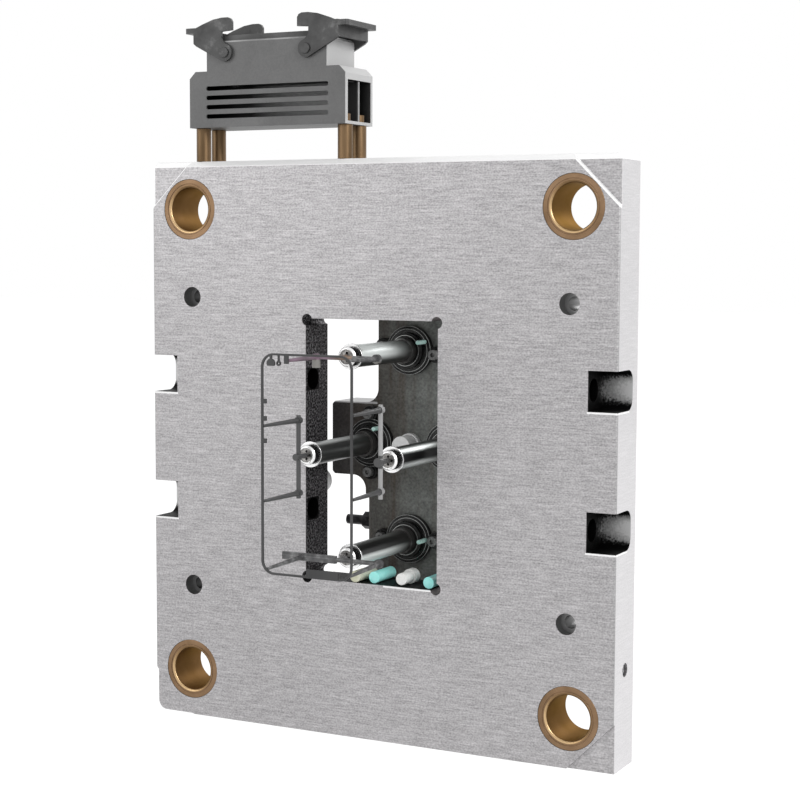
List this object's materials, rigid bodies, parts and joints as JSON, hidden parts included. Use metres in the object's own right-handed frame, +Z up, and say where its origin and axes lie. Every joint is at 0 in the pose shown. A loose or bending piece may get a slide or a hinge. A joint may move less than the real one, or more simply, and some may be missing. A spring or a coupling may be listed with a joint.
{
  "type": "hot runner mould",
  "caption": "Hot runner mould half: drilled nozzle plate on edge with guide bushes, heated cross manifold and nozzles through its window, raised connector with locking levers, frame moulding.",
  "frame": {"origin": "under the middle of the whole assembly, on the plane of the nozzle plate's foot", "axes": "+X along the plate to the right seen from the nozzle side, +Y from the moulding through the plate to the manifold, +Z up"},
  "size_m": [0.35, 0.2094, 0.489],
  "materials": {
    "plate_steel": "fine horizontal grinding",
    "bronze": "satin, bored and reamed",
    "pillar_brass": "turned",
    "manifold_steel": "heat-tinted, matte",
    "tool_steel": "turned",
    "bright_steel": "polished",
    "black_oxide": "satin black oxide",
    "heater_sheath": "heat-tinted",
    "tip_copper": "turned copper alloy",
    "ceramic": "matte",
    "sleeve_mint": "satin",
    "housing_grey": "powder-coated die casting",
    "lever_steel": "gunmetal, satin",
    "contact_gold": "plated",
    "insert_plastic": "moulded",
    "moulding_plastic": "semi-gloss"
  },
  "bodies": {
    "base": {"nozzle_plate": "plate_steel", "guide_bush_1": "bronze", "guide_bush_2": "bronze", "guide_bush_3": "bronze", "guide_bush_4": "bronze", "manifold_block": "manifold_steel", "manifold_plugs": "tool_steel", "manifold_heater": "heater_sheath", "manifold_thermocouple": "tool_steel", "support_posts": "tool_steel", "post_bolts": "black_oxide", "backup_pads": "tool_steel", "pad_screws": "black_oxide", "sprue_bushing": "bright_steel", "sprue_band_heater": "heater_sheath", "centring_pin": "ceramic", "stop_buttons": "bright_steel", "nozzle_body_1": "tool_steel", "nozzle_body_2": "tool_steel", "nozzle_body_3": "tool_steel", "nozzle_body_4": "tool_steel", "nozzle_heater_1": "bright_steel", "nozzle_heater_2": "bright_steel", "nozzle_heater_3": "bright_steel", "nozzle_heater_4": "bright_steel", "tip_nut_1": "bright_steel", "tip_nut_2": "bright_steel", "tip_nut_3": "bright_steel", "tip_nut_4": "bright_steel", "torpedo_tip_1": "tip_copper", "torpedo_tip_2": "tip_copper", "torpedo_tip_3": "tip_copper", "torpedo_tip_4": "tip_copper", "nozzle_clamps": "tool_steel", "clamp_screws": "tool_steel", "thermocouple_pins": "sleeve_mint", "lead_sleeves": "sleeve_mint", "lead_ferrules": "ceramic", "wiring_box": "housing_grey", "terminal_plate": "tool_steel", "spacer_pillars": "pillar_brass", "pillar_screws": "pillar_brass", "connector_housing": "housing_grey", "housing_screws": "bright_steel", "contact_insert": "insert_plastic", "contact_pins": "contact_gold", "insert_screws": "bright_steel", "lever_pivots": "bright_steel"},
    "left_lever": {"lever_left": "lever_steel"},
    "right_lever": {"lever_right": "lever_steel"},
    "moulding": {"moulded_frame": "moulding_plastic", "side_runners": "moulding_plastic", "end_runners": "moulding_plastic"}
  },
  "joints": [
    {"name": "left_lever_pivot", "type": "hinge", "parent": "base", "child": "left_lever", "pos_m": [-0.1125, 0.00025, 0.4654], "axis": [0, -1, 0], "range_deg": [-10, 38]},
    {"name": "right_lever_pivot", "type": "hinge", "parent": "base", "child": "right_lever", "pos_m": [-0.0481, 0.00025, 0.4654], "axis": [0, 1, 0], "range_deg": [-10, 38]},
    {"name": "moulding_release", "type": "slide", "parent": "base", "child": "moulding", "axis": [0, -1, 0], "range_m": [0, 0.06]}
  ]
}
